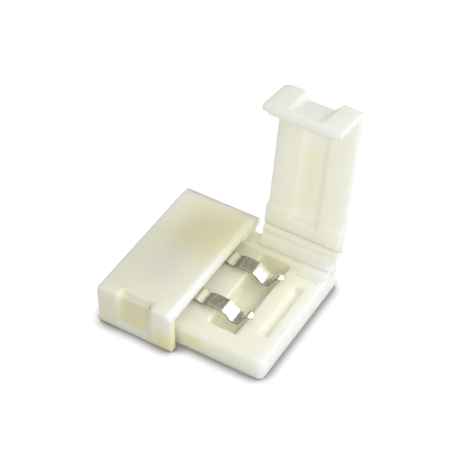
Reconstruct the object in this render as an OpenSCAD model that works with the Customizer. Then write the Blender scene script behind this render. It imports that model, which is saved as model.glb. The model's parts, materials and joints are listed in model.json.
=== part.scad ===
// Solderless clip connector that joins two ends of a 10 mm wide LED strip.
// A moulded tray carries two spring strips of tinned metal. A snap lid hinges over each end.
// X runs along the strip, Z is up, and the rear edge with the hinges is at +Y.
// The origin is at the middle of the tray's underside. Both lids are modelled closed and
// then turned to the angle at which they rest.

/* [Tray] */
// Length of the tray along the strip
base_len = 17.5; // [16.9:0.1:24]
// Depth of the tray from its front face to its rear face
base_depth = 14.5; // [14:0.1:18]
// Height of the floor that the strip lies on
floor_z = 2.4; // [2:0.05:2.6]
// Height of the rear wall
rear_wall_z = 2.9; // [2.7:0.05:3.1]
// Width of the channel that the strip lies in
channel_w = 10.2; // [10:0.1:10.8]
// Radius of the front top edge
front_edge_r = 0.6; // [0.3:0.05:1]
// Radius of the upright corners at the front
corner_r = 0.6; // [0.2:0.05:1]

/* [Contact pits] */
// Distance from the middle to the near edge of each pit
pit_start = 1.65; // [1.4:0.05:1.9]
// Length of each pit along the strip
pit_len = 3; // [3:0.05:3.3]
// Thickness of the skin under each pit
pit_skin = 0.9; // [0.6:0.05:1.1]

/* [Clamp grooves] */
// Distance from the tray's end to the cross groove
groove_end_gap = 1.35; // [0.9:0.05:1.5]
// Width of the cross groove
groove_w = 0.9; // [0.5:0.05:1]
// Depth of the cross groove
groove_depth = 0.5; // [0.2:0.05:0.8]
// Length of the cross groove across the channel
groove_len = 7.2; // [5:0.1:8]
// Distance from the rear wall to the rear end of the cross groove
groove_rear_gap = 1.9; // [1.5:0.05:2.2]
// Length of the fine gauge line that marks the strip's rear edge
gauge_len = 2.5; // [1.5:0.1:2.6]
// Distance from the tray's end to the gauge line
gauge_end_gap = 0.6; // [0.3:0.05:0.8]
// Width of the gauge line
gauge_w = 0.25; // [0.15:0.05:0.4]
// Depth of the gauge line
gauge_depth = 0.2; // [0.1:0.05:0.4]
// Distance from the rear wall to the gauge line
gauge_gap = 0.7; // [0.4:0.05:1]

/* [Spring contacts] */
// Distance between the middles of the two contacts
contact_pitch = 5.8; // [5.2:0.1:6.4]
// Width of each contact strip
contact_w = 1.7; // [1.3:0.05:1.9]
// Thickness of the contact metal
contact_t = 0.18; // [0.15:0.01:0.19]
// Height of the root's upper face above the tray's floor
root_rise = 0.32; // [0.24:0.01:0.4]
// Length of the low seat under each root
seat_len = 1.2; // [0.6:0.1:2]
// Height of the crest above the root
crest_rise = 0.22; // [0.1:0.01:0.3]
// Distance from the middle to the start of the crest
crest_start = 0.72; // [0.7:0.02:0.9]
// Length of the flat crest
crest_len = 1.4; // [1.2:0.05:1.6]
// Depth of the touching dip below the root
dip_drop = 0.72; // [0.6:0.01:0.8]
// Height of the bend near the tip above the root
tip_rise = 0.34; // [0.25:0.01:0.4]
// How far the tip falls past its bend
tip_drop = 0.16; // [0.05:0.01:0.3]
// How far the tip reaches past the pit
tip_over = 0.6; // [0.5:0.05:1.2]
// Width of the narrowed tip
tip_w = 0.9; // [0.6:0.05:1.1]

/* [Lids] */
// Gap between the two lids at the middle
lid_gap = 0.8; // [0.5:0.05:1.5]
// Height of the closed lid's top face
lid_top_z = 4.8; // [4.6:0.05:5.4]
// Thickness of the lid's panel
lid_t = 0.95; // [0.8:0.05:1.05]
// Thickness of the front flange
flange_t = 0.8; // [0.6:0.05:1]
// Gap between the flange and the tray's front face
flange_gap = 0.56; // [0.4:0.02:0.8]
// Radius of the lid's long top edges
lid_edge_r = 0.5; // [0.15:0.05:0.55]
// Radius of the lid's front top edge
lid_front_r = 0.3; // [0.15:0.05:0.4]
// Width of the finger pocket in the flange
pocket_w = 3.35; // [2.5:0.05:4]
// Depth of the pocket at the lid's top face
pocket_depth = 1; // [0.8:0.05:1.4]
// Depth of the pocket's ledge below the lid's top face
pocket_ledge = 0.6; // [0.4:0.05:0.7]
// Thickness of the skin behind the pocket at its thinnest
pocket_skin = 0.22; // [0.15:0.01:0.4]
// Height of the pocket's lower edge
pocket_low = 0.4; // [0.2:0.05:1]
// Width of the hollow in the lid's inner face
hollow_w = 3.1; // [2:0.05:4]
// Width of each sloped side of the hollow
hollow_slope = 0.35; // [0:0.05:0.6]
// Depth of the hollow in the lid's inner face
hollow_depth = 0.45; // [0.2:0.05:0.5]
// Distance from the flange's front face to the hollow
hollow_front = 3.5; // [2.5:0.05:4.5]
// Thickness of the ledge beside the hinge, below the panel
ledge_t = 0.5; // [0.3:0.05:0.55]
// Width of the ledge beside the hinge
ledge_w = 2.2; // [1.5:0.05:3]
// How far the hollow runs into the ledge
hollow_into_ledge = 0.75; // [0.3:0.05:1.2]
// Height of the snap ridge inside the flange
ridge_h = 0.6; // [0.4:0.05:0.9]
// How far the snap ridge stands in from the flange
ridge_in = 0.4; // [0.2:0.02:0.44]
// Distance from the lid's sides to the snap ridge
ridge_inset = 0.6; // [0:0.05:1.5]

/* [Hinges] */
// Distance of the hinge line behind the tray's rear face
hinge_out = 0.38; // [0.3:0.02:0.5]
// Height of the hinge line
hinge_z = 3.76; // [3.7:0.02:3.9]
// Radius of the rolled bead that the lid turns on
bead_r = 0.45; // [0.4:0.01:0.48]
// Gap between the bead and the lid
bead_clear = 0.05; // [0.03:0.01:0.08]
// Thickness of the web that carries the bead
web_t = 0.34; // [0.25:0.01:0.4]
// Height of the tip above the groove at the lid's end
end_lip = 0.1; // [0.08:0.01:0.16]
// Width of the sloped face at the lid's hinge end
taper_w = 1; // [0.7:0.05:1.3]
// Opening angle of the left lid at rest
left_angle = 0; // [0:1:170]
// Opening angle of the right lid at rest
right_angle = 100; // [0:1:170]

/* [Hidden] */
$fn = 48;
eps = 0.05;
over = 1;

front_y = -base_depth / 2;
rear_y = base_depth / 2;
channel_half = channel_w / 2;

// Hinge line, and the directions of the web and of the groove's two lips around it
hinge_y = rear_y + hinge_out;
groove_r = bead_r + bead_clear;
web_dir = 225;
web_half_angle = asin(web_t / 2 / groove_r);
web_side_clear = 12;
lip_low_dir = web_dir - web_half_angle - web_side_clear;
lip_high_dir = 72;

// Lid, closed
lid_len = (base_len - lid_gap) / 2;
lid_mid_x = lid_gap / 2 + lid_len / 2;
lid_in_z = lid_top_z - lid_t;
ledge_z = lid_in_z - ledge_t;
flange_in_y = front_y - flange_gap;
flange_out_y = flange_in_y - flange_t;
ridge_in_y = flange_in_y + ridge_in;
ridge_nose_z = ridge_h * 0.6;
ridge_back_z = ridge_h * 0.8;
lip_low = [hinge_y + groove_r * cos(lip_low_dir), hinge_z + groove_r * sin(lip_low_dir)];
lip_high = [hinge_y + groove_r * cos(lip_high_dir), hinge_z + groove_r * sin(lip_high_dir)];
ledge_rear_y = lip_low[0] - (lip_low[1] - ledge_z);
ledge_front_y = ledge_rear_y - ledge_w;

// Pits and grooves
pit_end = pit_start + pit_len;
groove_x = base_len / 2 - groove_end_gap - groove_w;
groove_rear_y = channel_half - groove_rear_gap;
gauge_x = base_len / 2 - gauge_end_gap - gauge_len;
gauge_y = channel_half - gauge_gap;

// Contact, as stations of its upper face from the middle outwards
root_z = floor_z + root_rise;
root_half = 0.02;
seat_inset = 0.15;
crest_sag = 0.04;
dip_len = 0.2;
lift_len = 1.05;
tip_len = 0.5;
crest_end = crest_start + crest_len;
contact_reach = pit_end + tip_over;
lift_end = contact_reach - tip_len;
dip_end = lift_end - lift_len;
dip_start = dip_end - dip_len;
stations = [
    [0, root_z], [root_half, root_z],
    [crest_start, root_z + crest_rise], [crest_end, root_z + crest_rise - crest_sag],
    [dip_start, root_z - dip_drop], [dip_end, root_z - dip_drop],
    [lift_end, root_z + tip_rise], [contact_reach, root_z + tip_rise - tip_drop]
];
path_steps = 8;
neck_gap = 0.8;
neck_len = 0.6;
neck_end = contact_reach - neck_gap;
neck_start = neck_end - neck_len;

// Turns a drawing in Y and Z into a solid from x0 to x1
module along_x(x0, x1) {
    translate([x0, 0, 0]) rotate([90, 0, 90]) linear_extrude(x1 - x0) children();
}

// Turns a drawing in X and Z into a solid from y0 to y1
module along_y(y0, y1) {
    translate([0, y1, 0]) rotate([90, 0, 0]) linear_extrude(y1 - y0) children();
}

// Repeats a shape on the left half as a mirror image
module both_ends() {
    children();
    mirror([1, 0, 0]) children();
}

// Section of the tray without its hinge, with a round front top edge
module tray_section() {
    difference() {
        translate([front_y, 0]) square([base_depth, rear_wall_z]);
        translate([front_y - over, floor_z])
            square([channel_half - front_y + over, rear_wall_z]);
        translate([front_y - over, floor_z - front_edge_r])
            square([over + front_edge_r, front_edge_r + over]);
    }
    intersection() {
        translate([front_y + front_edge_r, floor_z - front_edge_r]) circle(front_edge_r);
        translate([front_y, floor_z - front_edge_r]) square([front_edge_r + eps, front_edge_r]);
    }
}

// Point at a distance from the hinge line down one face of the web
function web_point(distance, side) = [
    hinge_y + distance * cos(web_dir) - side * web_t / 2 * sin(web_dir),
    hinge_z + distance * sin(web_dir) + side * web_t / 2 * cos(web_dir)
];

// Section of the rolled bead and the slanted web below it
module hinge_section() {
    foot_z = rear_wall_z - eps;
    inner_len = (web_point(0, -1)[1] - foot_z) / -sin(web_dir);
    outer_len = (web_point(0, 1)[0] - rear_y) / -cos(web_dir);
    translate([hinge_y, hinge_z]) circle(bead_r);
    polygon([
        web_point(0, -1), web_point(inner_len, -1), [rear_y, foot_z],
        web_point(outer_len, 1), web_point(0, 1)
    ]);
}

// Plan of the tray, with round corners at the front
module tray_plan() {
    half = base_len / 2;
    translate([-half, front_y + corner_r]) square([base_len, base_depth + 2 * over]);
    translate([-half + corner_r, front_y]) square([base_len - 2 * corner_r, corner_r + eps]);
    for (side = [-1, 1])
        translate([side * (half - corner_r), front_y + corner_r]) circle(corner_r);
}

// Low seat on the tray's floor that carries a contact's root
module root_seat(y) {
    seat_w = contact_w - 2 * seat_inset;
    translate([-seat_len / 2, y - seat_w / 2, floor_z - eps])
        cube([seat_len, seat_w, root_z - contact_t - floor_z + eps]);
}

module pit() {
    translate([pit_start, -channel_half, pit_skin]) cube([pit_len, channel_w, floor_z]);
}

module cross_groove() {
    translate([groove_x, groove_rear_y - groove_len, floor_z - groove_depth])
        cube([groove_w, groove_len, groove_depth + over]);
}

module gauge_line() {
    translate([gauge_x, gauge_y, floor_z - gauge_depth])
        cube([gauge_len, gauge_w, gauge_depth + over]);
}

// Tray: floor, rear wall, pits, grooves, root seats and the hinge bead of each lid
module tray() {
    color("ivory") {
        difference() {
            intersection() {
                along_x(-base_len / 2, base_len / 2) tray_section();
                linear_extrude(rear_wall_z + over) tray_plan();
            }
            both_ends() {
                pit();
                cross_groove();
                gauge_line();
            }
        }
        for (side = [-1, 1]) root_seat(side * contact_pitch / 2);
        both_ends() along_x(lid_gap / 2, base_len / 2) hinge_section();
    }
}

// Section of the closed lid: flange, panel, ledge and the sloped end over the hinge
module lid_section() {
    difference() {
        union() {
            translate([flange_out_y, 0]) square([flange_t, lid_top_z - lid_front_r]);
            translate([flange_out_y, lid_in_z])
                square([lip_low[0] - flange_out_y, lid_t - lid_front_r]);
            translate([flange_out_y + lid_front_r, lid_top_z - lid_front_r])
                square([hinge_y - taper_w + end_lip - flange_out_y - lid_front_r, lid_front_r]);
            translate([flange_out_y + lid_front_r, lid_top_z - lid_front_r]) circle(lid_front_r);
            polygon([
                [ledge_front_y, lid_in_z + eps], [ledge_front_y, ledge_z],
                [ledge_rear_y, ledge_z], lip_low,
                [hinge_y, hinge_z], lip_high,
                [lip_high[0], lip_high[1] + end_lip],
                [hinge_y - taper_w + end_lip, lid_top_z],
                [ledge_front_y, lid_top_z]
            ]);
        }
        translate([hinge_y, hinge_z]) circle(groove_r);
    }
}

// Front view of the lid's outline, with round long top edges
module lid_front() {
    x0 = lid_gap / 2;
    translate([x0, -over]) square([lid_len, lid_top_z - lid_edge_r + over]);
    translate([x0 + lid_edge_r, 0]) square([lid_len - 2 * lid_edge_r, lid_top_z]);
    for (x = [x0 + lid_edge_r, x0 + lid_len - lid_edge_r])
        translate([x, lid_top_z - lid_edge_r]) circle(lid_edge_r);
}

// Snap ridge along the inner side of the flange's free edge
module snap_ridge() {
    along_x(lid_gap / 2 + ridge_inset, base_len / 2 - ridge_inset) polygon([
        [flange_in_y - eps, 0], [flange_in_y, 0],
        [ridge_in_y, ridge_nose_z], [ridge_in_y, ridge_back_z],
        [flange_in_y, ridge_h], [flange_in_y - eps, ridge_h]
    ]);
}

// Finger pocket in the front of the flange: a ledge at the top, and a ramp that runs out below it
module finger_pocket() {
    ledge_z = lid_top_z - pocket_ledge;
    along_x(lid_mid_x - pocket_w / 2, lid_mid_x + pocket_w / 2) polygon([
        [flange_out_y - over, pocket_low], [flange_out_y, pocket_low],
        [flange_in_y - pocket_skin, ledge_z], [flange_out_y + pocket_depth, ledge_z],
        [flange_out_y + pocket_depth, lid_top_z + over], [flange_out_y - over, lid_top_z + over]
    ]);
}

// Hollow in the lid's inner face, with sloped sides
module inner_hollow() {
    half = hollow_w / 2;
    low_z = ledge_z - over;
    high_z = lid_in_z + hollow_depth;
    along_y(flange_out_y + hollow_front, ledge_front_y + hollow_into_ledge) polygon([
        [lid_mid_x - half, low_z], [lid_mid_x - half, lid_in_z],
        [lid_mid_x - half + hollow_slope, high_z], [lid_mid_x + half - hollow_slope, high_z],
        [lid_mid_x + half, lid_in_z], [lid_mid_x + half, low_z]
    ]);
}

// Right lid, closed
module closed_lid() {
    difference() {
        intersection() {
            along_x(lid_gap / 2, base_len / 2) lid_section();
            along_y(flange_out_y - over, hinge_y + over) lid_front();
        }
        finger_pocket();
        inner_hollow();
    }
    snap_ridge();
}

// Turns a lid about the hinge line by its opening angle
module opened(angle) {
    translate([0, hinge_y, hinge_z]) rotate([-angle, 0, 0]) translate([0, -hinge_y, -hinge_z])
        children();
}

module left_lid() {
    color("beige") opened(left_angle) mirror([1, 0, 0]) closed_lid();
}

module right_lid() {
    color("beige") opened(right_angle) closed_lid();
}

// Height of the contact's upper face between two stations, as half a cosine wave
function eased(a, b, t) = [
    a[0] + (b[0] - a[0]) * t,
    a[1] + (b[1] - a[1]) * (1 - cos(180 * t)) / 2
];

function half_path() = [
    for (i = [0 : len(stations) - 2], k = [0 : path_steps - 1])
        eased(stations[i], stations[i + 1], k / path_steps),
    stations[len(stations) - 1]
];

// Points of the upper face moved down by one metal thickness, square to the face
function lower_path(p) = [
    for (i = [0 : len(p) - 1])
        let (a = p[max(i - 1, 0)], b = p[min(i + 1, len(p) - 1)], d = b - a, n = norm(d))
        [p[i][0] + contact_t * d[1] / n, p[i][1] - contact_t * d[0] / n]
];

function reversed(p) = [for (i = [len(p) - 1 : -1 : 0]) p[i]];

// Side view of one half of a contact
module spring_profile() {
    upper = half_path();
    polygon(concat(upper, reversed(lower_path(upper))));
}

// Plan of one half of a contact: the full strip, a shoulder and a round narrow tip
module spring_plan() {
    half = contact_w / 2;
    tip_half = tip_w / 2;
    tip_x = contact_reach - tip_half;
    polygon([
        [-eps, -half], [neck_start, -half], [neck_end, -tip_half], [tip_x, -tip_half],
        [tip_x, tip_half], [neck_end, tip_half], [neck_start, half], [-eps, half]
    ]);
    translate([tip_x, 0]) circle(tip_half);
}

// One spring contact, bent from one strip and alike at both ends
module contact(y) {
    translate([0, y, 0]) both_ends() intersection() {
        along_y(-contact_w / 2, contact_w / 2) spring_profile();
        linear_extrude(lid_top_z) spring_plan();
    }
}

module front_contact() {
    color("silver") contact(-contact_pitch / 2);
}

module rear_contact() {
    color("silver") contact(contact_pitch / 2);
}

tray();
left_lid();
right_lid();
front_contact();
rear_contact();
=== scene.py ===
"""Looks of a two-ended clip connector for LED strip: moulded nylon tray, two lids, two spring contacts."""

import json
import math

import bpy
import numpy as np
from bpy.props import FloatProperty, FloatVectorProperty, PointerProperty
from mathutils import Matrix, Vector


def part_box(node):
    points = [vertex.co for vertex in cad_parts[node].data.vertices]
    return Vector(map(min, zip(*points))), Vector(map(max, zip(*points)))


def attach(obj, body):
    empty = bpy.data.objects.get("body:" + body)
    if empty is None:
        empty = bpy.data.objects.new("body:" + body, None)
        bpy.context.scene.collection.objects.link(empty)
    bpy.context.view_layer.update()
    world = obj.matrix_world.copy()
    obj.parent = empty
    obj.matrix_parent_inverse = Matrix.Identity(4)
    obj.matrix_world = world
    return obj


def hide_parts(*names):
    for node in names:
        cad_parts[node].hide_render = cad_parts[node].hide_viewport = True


bl_info = {
    "name": "Strip Connector",
    "version": (1, 0, 0),
    "blender": (4, 5, 0),
    "location": "View3D > Sidebar > Connector",
    "description": "Dresses the clip connector with moulded nylon and tinned contacts",
    "category": "Object",
}

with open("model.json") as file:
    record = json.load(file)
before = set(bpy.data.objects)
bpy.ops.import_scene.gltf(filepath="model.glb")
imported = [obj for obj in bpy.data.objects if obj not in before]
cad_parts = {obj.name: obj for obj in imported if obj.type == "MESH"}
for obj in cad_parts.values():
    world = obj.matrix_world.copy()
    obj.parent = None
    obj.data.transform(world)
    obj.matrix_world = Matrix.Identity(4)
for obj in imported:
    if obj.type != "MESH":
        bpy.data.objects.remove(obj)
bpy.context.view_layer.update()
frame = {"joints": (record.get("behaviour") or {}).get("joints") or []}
tray_low, tray_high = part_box("tray")
JOINTS = {joint["name"]: joint for joint in frame["joints"]}

OPEN_ANGLE = 100  # degrees by which the right lid is open
HAIR = 0.000002  # m, the least rounding, which keeps a corner's points apart
TRAY_RING_GAP = 0.0012  # m, longest gap between two rings of the tray's skin
HINGE_RING_GAP = 0.0008  # m, the same for the hinges


# Settings


def length(name, text, default):
    """A size in metres."""
    return FloatProperty(name=name, description=text, default=default, min=0, max=0.1, unit="LENGTH",
                         precision=5)


def share(name, text, default, high=1.0):
    """A number from 0 up."""
    return FloatProperty(name=name, description=text, default=default, min=0, max=high, subtype="FACTOR")


def colour(name, text, default):
    """A linear colour."""
    return FloatVectorProperty(name=name, description=text, default=default, size=3, min=0, max=1,
                               subtype="COLOR")


def angle(name, text, degrees):
    """An angle, given in degrees."""
    return FloatProperty(name=name, description=text, default=math.radians(degrees), subtype="ANGLE")


def per_mm(name, text, default):
    """How many features of a pattern lie in a millimetre."""
    return FloatProperty(name=name, description=text + " in a millimetre", default=default, min=0)


def watts(name, text, default):
    """The power of a lamp in watts."""
    return FloatProperty(name=name, description="Power of the lamp " + text, default=default, min=0,
                         unit="POWER", precision=4)


class TraySettings(bpy.types.PropertyGroup):
    """Sizes of the moulded tray"""

    floor_z: length("Floor Height", "Height of the floor that the strip lies on", 0.0024)
    wall_z: length("Rear Wall Height", "Height of the rear wall", 0.0029)
    channel: length("Channel Width", "Width of the channel that the strip lies in", 0.0102)
    pit_start: length("Pit Start", "Distance from the middle to each pit", 0.00165)
    pit_len: length("Pit Length", "Length of each pit along the strip", 0.003)
    pit_skin: length("Pit Skin", "Thickness of the skin under each pit", 0.0009)
    seat_pitch: length("Seat Pitch", "Distance between the two seats of the contacts", 0.0058)
    seat_len: length("Seat Length", "Length of the low seat under each contact", 0.0012)
    seat_w: length("Seat Width", "Width of the low seat under each contact", 0.0014)
    seat_h: length("Seat Height", "Height of the low seat under each contact", 0.00014)
    groove_start: length("Groove Start", "Distance from the middle to each cross groove", 0.0065)
    groove_w: length("Groove Width", "Width of each cross groove", 0.0009)
    groove_depth: length("Groove Depth", "Depth of each cross groove", 0.0005)
    groove_len: length("Groove Length", "Length of each cross groove", 0.0072)
    groove_rear: length("Groove Rear Gap", "Distance from the rear wall to each cross groove", 0.0019)
    gauge_start: length("Gauge Start", "Distance from the middle to each gauge line", 0.00565)
    gauge_len: length("Gauge Length", "Length of each gauge line", 0.0025)
    gauge_w: length("Gauge Width", "Width of each gauge line", 0.00025)
    gauge_depth: length("Gauge Depth", "Depth of each gauge line", 0.0002)
    gauge_rear: length("Gauge Rear Gap", "Distance from the rear wall to each gauge line", 0.0007)
    corner_r: length("Corner Radius", "Radius of the front edge and of the upright front corners", 0.0006)
    end_r: length("End Radius", "Radius of the edges round the end faces", 0.00018)
    wall_r: length("Wall Radius", "Radius at the top and foot of each pit and of the rear wall", 0.0003)
    groove_r: length("Groove Radius", "Radius at the top and foot of each cross groove", 0.00015)
    fine_r: length("Fine Radius", "Radius at the top and foot of each seat and gauge line", 0.00006)
    foot_r: length("Foot Radius", "Radius of the edges at the underside and the rear", 0.0001)
    web_t: length("Web Thickness", "Thickness of the web below each hinge bead", 0.00034)
    hinge_run: length("Hinge Run", "How far the hinge runs in over the rear wall", 0.0013)
    bead_r: length("Bead Radius", "Radius of each hinge bead", 0.00049)


class LidSettings(bpy.types.PropertyGroup):
    """Sizes of the two lids"""

    gap: length("Lid Gap", "Gap between the lids at the middle", 0.0008)
    top_z: length("Top Height", "Height of the closed lid's top face", 0.0048)
    panel_t: length("Panel Thickness", "Thickness of the lid's panel", 0.00095)
    flange_t: length("Flange Thickness", "Thickness of the front flange", 0.0008)
    flange_gap: length("Flange Gap", "Gap between the flange and the tray", 0.00056)
    pocket_w: length("Pocket Width", "Width of the finger pocket", 0.00335)
    pocket_depth: length("Pocket Depth", "Depth of the finger pocket at the top face", 0.001)
    pocket_ledge: length("Pocket Ledge", "Depth of the pocket's ledge below the top face", 0.0006)
    pocket_skin: length("Pocket Skin", "Thinnest skin behind the pocket", 0.00022)
    pocket_low: length("Pocket Foot", "Height of the pocket's lower edge", 0.0004)
    hollow_w: length("Hollow Width", "Width of the hollow in the inner face", 0.0031)
    hollow_slope: length("Hollow Slope", "Width of each sloped side of the hollow", 0.0009)
    hollow_depth: length("Hollow Depth", "Depth of the hollow", 0.0004)
    hollow_front: length("Hollow Front", "Distance from the flange's front to the hollow", 0.0035)
    hollow_cut: length("Hollow Cut", "How far the hollow runs into the ledge", 0.00075)
    ledge_t: length("Ledge Thickness", "Thickness of the ledge beside the hinge", 0.0005)
    ledge_w: length("Ledge Width", "Width of the ledge beside the hinge", 0.0022)
    ridge_h: length("Ridge Height", "Height of the snap ridge", 0.0006)
    ridge_in: length("Ridge Reach", "How far the snap ridge stands in", 0.0004)
    ridge_inset: length("Ridge Inset", "Distance from the lid's sides to the snap ridge", 0.0006)
    groove_r: length("Groove Radius", "Radius of the groove round the hinge bead", 0.0005)
    lip: length("End Lip", "Height of the tip above the hinge groove", 0.0001)
    taper: length("Taper Width", "Width of the sloped face at the hinge end", 0.001)
    inner_r: length("Inner Top Radius", "Radius of the long top edge near the middle", 0.0008)
    outer_r: length("Outer Top Radius", "Radius of the long top edge at the end", 0.00035)
    pocket_soft: length("Pocket Softness", "Half the width over which the pocket's sides run in", 0.0004)
    edge_r: length("Edge Radius", "Radius of the lid's other edges", 0.00014)
    crown: length("Crown", "How far the long top edges lie below the top face's middle", 0.00005)


class ContactSettings(bpy.types.PropertyGroup):
    """Sizes of the two spring contacts"""

    pitch: length("Contact Pitch", "Distance between the two contacts", 0.0058)
    width: length("Strip Width", "Width of each contact strip", 0.0017)
    metal_t: length("Metal Thickness", "Thickness of the contact metal", 0.00018)
    root_z: length("Root Height", "Height of the root's upper face", 0.00272)
    root_half: length("Root Half", "Half the length of the flat root", 0.00002)
    crest: length("Crest Height", "Height of the crest above the root", 0.00022)
    crest_sag: length("Crest Sag", "How far the crest falls along its length", 0.00004)
    crest_start: length("Crest Start", "Distance from the middle to the start of the crest", 0.00072)
    crest_len: length("Crest Length", "Length of the crest", 0.0014)
    dip: length("Dip Depth", "Depth of the dip below the root", 0.00072)
    dip_len: length("Dip Length", "Length of the dip", 0.0002)
    lift_len: length("Lift Length", "Length of the rise from the dip to the bend near the tip", 0.00105)
    tip: length("Bend Height", "Height of the bend near the tip above the root", 0.00034)
    tip_drop: length("Tip Drop", "How far the tip falls past its bend", 0.00016)
    tip_len: length("Tip Length", "Length of the tip past its bend", 0.0005)
    tip_w: length("Tip Width", "Width of the narrow tip", 0.0009)
    neck_gap: length("Neck Gap", "Distance from the tip's end to the end of the shoulder", 0.0008)
    neck_len: length("Neck Length", "Length of the shoulder", 0.0006)
    reach: length("Reach", "Distance from the middle to each tip", 0.00525)
    edge_r: length("Sheared Edge", "Radius of the strip's sheared edges", 0.00005)


class NylonSettings(bpy.types.PropertyGroup):
    """Translucent nylon of the tray and the lids"""

    # The white colour is also painted where highlights fall, through the patches.
    white: colour("White Colour", "Colour where the nylon is palest", (0.95, 0.955, 0.92))
    thick: colour("Thick Colour", "Colour of the nylon where nothing shows through", (0.935, 0.93, 0.76))
    # The thin colour is also painted where shade falls, through the patches.
    thin: colour("Thin Colour", "Golden colour where the nylon is thin or hollow behind", (0.89, 0.83, 0.52))
    base: share("Golden Base", "Share of golden colour everywhere", 0.3)
    clouds: share("Clouds", "Strength of the large clouds in the nylon", 0.25)
    mottle: share("Mottle", "Strength of the small spots in the nylon", 0.12)
    cloud_scale: per_mm("Cloud Scale", "Clouds", 0.35)
    mottle_scale: per_mm("Mottle Scale", "Small spots", 3.5)
    grain_scale: per_mm("Grain Scale", "Grains of the moulded surface", 22)
    subsurface: share("Subsurface", "Share of the light that enters the nylon", 0.75)
    hinge_subsurface: share("Hinge Subsurface", "Share of the light that enters the thin hinges", 0.15)
    open_subsurface: share("Open Lid Subsurface", "Share of the light that enters the open lid", 0.9)
    scatter: length("Scatter Distance", "How far light spreads inside the nylon", 0.0014)
    open_scatter: length("Open Lid Scatter", "How far light spreads inside the open lid", 0.0022)
    roughness: share("Roughness", "Roughness of the moulded surface", 0.45)
    relief: length("Relief", "Height of the moulded surface's grain", 0.000004)


class TinSettings(bpy.types.PropertyGroup):
    """Tin plating of the contacts"""

    bright: colour("Bright Tin", "Colour of the clean plating", (0.93, 0.92, 0.88))
    dull: colour("Dull Tin", "Colour of the handled plating", (0.76, 0.74, 0.64))
    # The sheared colour is the sides' own colour; the mask spreads it over most of the rounded edges too,
    # where it paints out their bright reflection.
    sheared: colour("Sheared Metal", "Colour of the sheared sides", (0.36, 0.34, 0.26))
    # Painted reflection: the root gets the pale colour of the nylon that it mirrors, in place of the
    # plating's own look.
    root: colour("Root Tin", "Colour of the dull root", (0.7, 0.69, 0.54))
    # Painted dark reflection: dark colour on the stretch beside the root stands in for the dark surroundings
    # that the plating mirrors.
    dark_reflection: colour("Dark_Reflection", "Colour of the tarnished metal beside the root", (0.37, 0.35, 0.265))
    spot_scale: per_mm("Spot Scale", "Handled spots", 2.2)
    grain_scale: per_mm("Tin Grain Scale", "Grains of the plating", 14)
    roughness: share("Tin Roughness", "Roughness of the plating", 0.2)
    relief: length("Tin Relief", "Height of the plating's grain", 0.000002)


class StageSettings(bpy.types.PropertyGroup):
    """Camera, lamps and floor"""

    azimuth: angle("Azimuth", "Direction of the camera round the connector", 31.04)
    elevation: angle("Elevation", "Height of the camera above the horizon", 45.06)
    camera: FloatVectorProperty(name="Camera Place", description="Where the camera stands", size=3,
                                default=(0.05885, -0.09531, 0.1210), unit="LENGTH", precision=5)
    lens: FloatProperty(name="Lens", description="Focal length on a 36 mm sensor", default=128.14, min=20,
                        max=300, unit="CAMERA")
    key: watts("Key Power", "at the right", 0.0175)
    back: watts("Back Power", "at the back right", 0.059)
    fill: watts("Fill Power", "at the front", 0.043)
    glint: watts("Glint Power", "that only mirrors show", 0.06)
    sky: share("Sky", "Strength of the even light from all round", 0.572, 2)
    card: share("Card", "Brightness of the dark card that the flat metal mirrors", 0.27)
    card_edge: FloatProperty(name="Card Edge", description="Place of the card's right edge",
                             default=-0.008, unit="LENGTH", precision=5)
    floor_glow: share("Floor Glow", "Brightness of the open floor, where the camera sees it", 0.88)


# Surfaces


def hinge_line():
    """Place of the hinge line in Y and Z."""
    return JOINTS["right_lid_hinge"]["pos_m"][1:]


def quarter(steps=4):
    """Sine and one less cosine of a quarter turn in equal steps."""
    turn = np.linspace(0, np.pi / 2, steps + 1)
    return np.sin(turn), 1 - np.cos(turn)


def across_walls(walls, before, after, states_before, states_after, steps=4):
    """Stations along a line that crosses upright walls, and the shape at each station.

    A wall at w turns the shape A into B. Before it, the station w - a + a sin t has A moved by a (1 - cos t)
    towards B. Past it, the station w + b (1 - cos t) has B moved back by b (1 - sin t), with t from 0 to a
    quarter turn. a and b are the radii at the wall's edge and foot, and no move is more than half the way
    from A to B."""
    rise, fall = quarter(steps)
    walls, before, after = (np.asarray(v, float)[:, None] for v in (walls, before, after))
    places = np.stack([walls - before + before * rise, walls + after * fall], axis=1)
    a, b = (np.asarray(v, float)[:, None] for v in (states_before, states_after))
    way = b - a
    size = np.linalg.norm(way, axis=-1, keepdims=True)
    unit = way / np.maximum(size, 1e-12)
    shape = (-1, steps + 1) + (1,) * (way.ndim - 2)
    first = a + unit * np.minimum((before * fall).reshape(shape), size / 2)
    second = b - unit * np.minimum((after * (1 - rise)).reshape(shape), size / 2)
    states = np.stack([first, second], axis=1)
    return places.reshape(-1), states.reshape((-1,) + states.shape[3:])


def rounded(corners, steps=4):
    """Polygon through corners (y, z, cut), with an exact arc that starts and ends a cut from each corner.

    An arc is the rational curve ((1-s)^2 P0 + 2 w s (1-s) P1 + s^2 P2) / ((1-s)^2 + 2 w s (1-s) + s^2),
    where P1 is the corner and w is the sine of half its inner angle, so a straight corner gives evenly
    spaced points."""
    corners, cuts = corners[:, :2], corners[:, 2:]
    back = np.roll(corners, 1, axis=0) - corners
    on = np.roll(corners, -1, axis=0) - corners
    back /= np.linalg.norm(back, axis=1, keepdims=True)
    on /= np.linalg.norm(on, axis=1, keepdims=True)
    w = np.sqrt(np.clip((1 - (back * on).sum(axis=1)) / 2, 0, 1))[:, None, None]
    s = np.linspace(0, 1, steps + 1)[None, :, None]
    p0, p1, p2 = (corners + back * cuts)[:, None], corners[:, None], (corners + on * cuts)[:, None]
    k0, k1, k2 = (1 - s) ** 2, 2 * w * s * (1 - s), s**2
    return ((k0 * p0 + k1 * p1 + k2 * p2) / (k0 + k1 + k2)).reshape(-1, 2)


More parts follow.
